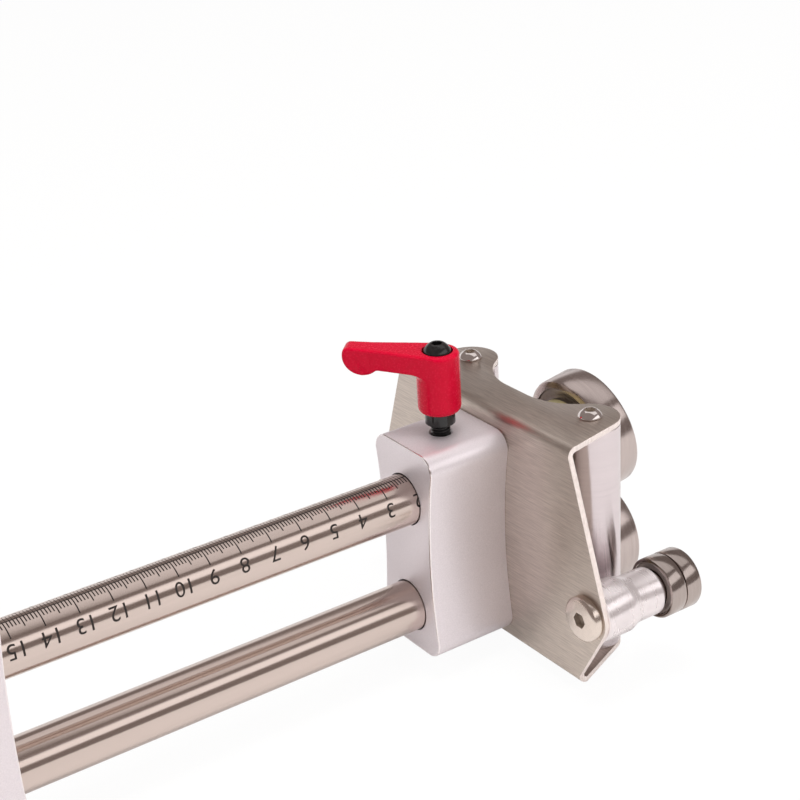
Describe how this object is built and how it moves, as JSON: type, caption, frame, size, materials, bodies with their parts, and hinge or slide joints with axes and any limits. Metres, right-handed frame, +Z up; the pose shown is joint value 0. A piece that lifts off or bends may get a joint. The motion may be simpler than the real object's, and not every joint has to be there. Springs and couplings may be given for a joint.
{
  "type": "seam bending tool",
  "caption": "Roller head for bending sheet seams: a tilted and a level bearing roller on a bent plate with guide rollers, clamped by a lever on twin scaled rods with a sliding stop block.",
  "frame": {"origin": "middle of the tool's outline, at the height of its lowest point, the heads of the bottom column screws", "axes": "+X along the guide rods towards the rollers, +Y to the left seen from the rods' free end, +Z up towards the clamp lever"},
  "size_m": [0.2644, 0.1196, 0.1042],
  "materials": {
    "rod_steel": "ground and polished",
    "block_aluminium": "satin, bead blasted and clear anodised",
    "plate_steel": "brushed stainless sheet",
    "column_steel": "fine turned",
    "screw_steel": "polished stainless",
    "axle_zinc": "yellow zinc plated",
    "arm_aluminium": "bright turned",
    "arm_screw_nickel": "nickel plated",
    "bearing_steel": "ground bearing steel",
    "shield_steel": "pressed sheet",
    "black_steel": "black oxide",
    "spring_steel": "drawn wire",
    "pad_brass": "turned",
    "lever_red": "satin powder coat on die-cast zinc"
  },
  "bodies": {
    "rods": {"scale_rod": "rod_steel", "plain_rod": "rod_steel"},
    "stop": {"stop_block": "block_aluminium", "stop_set_screws": "black_steel"},
    "head": {"head_block": "block_aluminium", "head_plate": "plate_steel", "plate_screws": "screw_steel", "left_column": "column_steel", "right_column": "column_steel", "column_top_screws": "screw_steel", "column_bottom_screws": "screw_steel", "upper_axle": "axle_zinc", "upper_washer": "screw_steel", "upper_end_screw": "screw_steel", "lower_axle": "axle_zinc", "lower_washer": "screw_steel", "lower_end_screw": "screw_steel", "left_arm": "arm_aluminium", "right_arm": "arm_aluminium", "arm_screws": "arm_screw_nickel", "arm_washers": "screw_steel", "arm_end_screws": "screw_steel", "upper_inner_ring": "bearing_steel", "lower_inner_ring": "bearing_steel", "right_near_inner_ring": "bearing_steel", "right_far_inner_ring": "bearing_steel", "left_near_inner_ring": "bearing_steel", "left_far_inner_ring": "bearing_steel"},
    "pad": {"clamp_pad": "pad_brass"},
    "lever_core": {"lever_insert": "black_steel", "lever_screw": "black_steel", "lever_spring": "spring_steel"},
    "handle": {"lever_handle": "lever_red"},
    "upper_roller": {"upper_outer_ring": "bearing_steel", "upper_shields": "shield_steel"},
    "upper_ball_set": {"upper_balls": "bearing_steel", "upper_cage": "shield_steel"},
    "lower_roller": {"lower_outer_ring": "bearing_steel", "lower_shields": "shield_steel"},
    "lower_ball_set": {"lower_balls": "bearing_steel", "lower_cage": "shield_steel"},
    "right_near_roller": {"right_near_outer_ring": "bearing_steel", "right_near_shields": "shield_steel"},
    "right_near_ball_set": {"right_near_balls": "bearing_steel", "right_near_cage": "shield_steel"},
    "right_far_roller": {"right_far_outer_ring": "bearing_steel", "right_far_shields": "shield_steel"},
    "right_far_ball_set": {"right_far_balls": "bearing_steel", "right_far_cage": "shield_steel"},
    "left_near_roller": {"left_near_outer_ring": "bearing_steel", "left_near_shields": "shield_steel"},
    "left_near_ball_set": {"left_near_balls": "bearing_steel", "left_near_cage": "shield_steel"},
    "left_far_roller": {"left_far_outer_ring": "bearing_steel", "left_far_shields": "shield_steel"},
    "left_far_ball_set": {"left_far_balls": "bearing_steel", "left_far_cage": "shield_steel"}
  },
  "joints": [
    {"name": "head_slide", "type": "slide", "parent": "rods", "child": "head", "axis": [1, 0, 0], "range_m": [0, 0.012]},
    {"name": "stop_slide", "type": "slide", "parent": "rods", "child": "stop", "axis": [1, 0, 0], "range_m": [-0.015, 0.13]},
    {"name": "pad_slide", "type": "slide", "parent": "head", "child": "pad", "axis": [0, 0, 1], "range_m": [-0.00025, 0.001]},
    {"name": "lever_turn", "type": "hinge", "parent": "pad", "child": "lever_core", "pos_m": [0.0623, 0, 0.0825], "axis": [0, 0, 1], "range_deg": [-90.01, 360.01]},
    {"name": "lever_lift", "type": "slide", "parent": "lever_core", "child": "handle", "axis": [0, 0, 1], "range_m": [0, 0.004], "stiffness_N_per_m": 600, "springref_m": -0.004, "deforming": ["lever_spring"]},
    {"name": "upper_spin", "type": "hinge", "parent": "head", "child": "upper_roller", "pos_m": [0.1184, 0, 0.05772], "axis": [0.9866, 0, 0.1633], "continuous": true},
    {"name": "upper_ball_orbit", "type": "hinge", "parent": "head", "child": "upper_ball_set", "pos_m": [0.1184, 0, 0.05772], "axis": [0.9866, 0, 0.1633], "continuous": true},
    {"name": "lower_spin", "type": "hinge", "parent": "head", "child": "lower_roller", "pos_m": [0.1219, 0, 0.01885], "axis": [1, 0, 0], "continuous": true},
    {"name": "lower_ball_orbit", "type": "hinge", "parent": "head", "child": "lower_ball_set", "pos_m": [0.1219, 0, 0.01885], "axis": [1, 0, 0], "continuous": true},
    {"name": "right_near_spin", "type": "hinge", "parent": "head", "child": "right_near_roller", "pos_m": [0.1052, -0.0503, 0.028], "axis": [1, 0, 0], "continuous": true},
    {"name": "right_near_ball_orbit", "type": "hinge", "parent": "head", "child": "right_near_ball_set", "pos_m": [0.1052, -0.0503, 0.028], "axis": [1, 0, 0], "continuous": true},
    {"name": "right_far_spin", "type": "hinge", "parent": "head", "child": "right_far_roller", "pos_m": [0.1112, -0.0503, 0.028], "axis": [1, 0, 0], "continuous": true},
    {"name": "right_far_ball_orbit", "type": "hinge", "parent": "head", "child": "right_far_ball_set", "pos_m": [0.1112, -0.0503, 0.028], "axis": [1, 0, 0], "continuous": true},
    {"name": "left_near_spin", "type": "hinge", "parent": "head", "child": "left_near_roller", "pos_m": [0.1052, 0.0503, 0.028], "axis": [1, 0, 0], "continuous": true},
    {"name": "left_near_ball_orbit", "type": "hinge", "parent": "head", "child": "left_near_ball_set", "pos_m": [0.1052, 0.0503, 0.028], "axis": [1, 0, 0], "continuous": true},
    {"name": "left_far_spin", "type": "hinge", "parent": "head", "child": "left_far_roller", "pos_m": [0.1112, 0.0503, 0.028], "axis": [1, 0, 0], "continuous": true},
    {"name": "left_far_ball_orbit", "type": "hinge", "parent": "head", "child": "left_far_ball_set", "pos_m": [0.1112, 0.0503, 0.028], "axis": [1, 0, 0], "continuous": true}
  ],
  "couplings": [
    {"joint": "lever_turn", "follows": "pad_slide", "rad_per_m": 6283.2},
    {"joint": "upper_ball_orbit", "follows": "upper_spin", "ratio": 0.60825},
    {"joint": "lower_ball_orbit", "follows": "lower_spin", "ratio": 0.606},
    {"joint": "right_near_ball_orbit", "follows": "right_near_spin", "ratio": 0.59963},
    {"joint": "right_far_ball_orbit", "follows": "right_far_spin", "ratio": 0.59963},
    {"joint": "left_near_ball_orbit", "follows": "left_near_spin", "ratio": 0.59963},
    {"joint": "left_far_ball_orbit", "follows": "left_far_spin", "ratio": 0.59963}
  ]
}
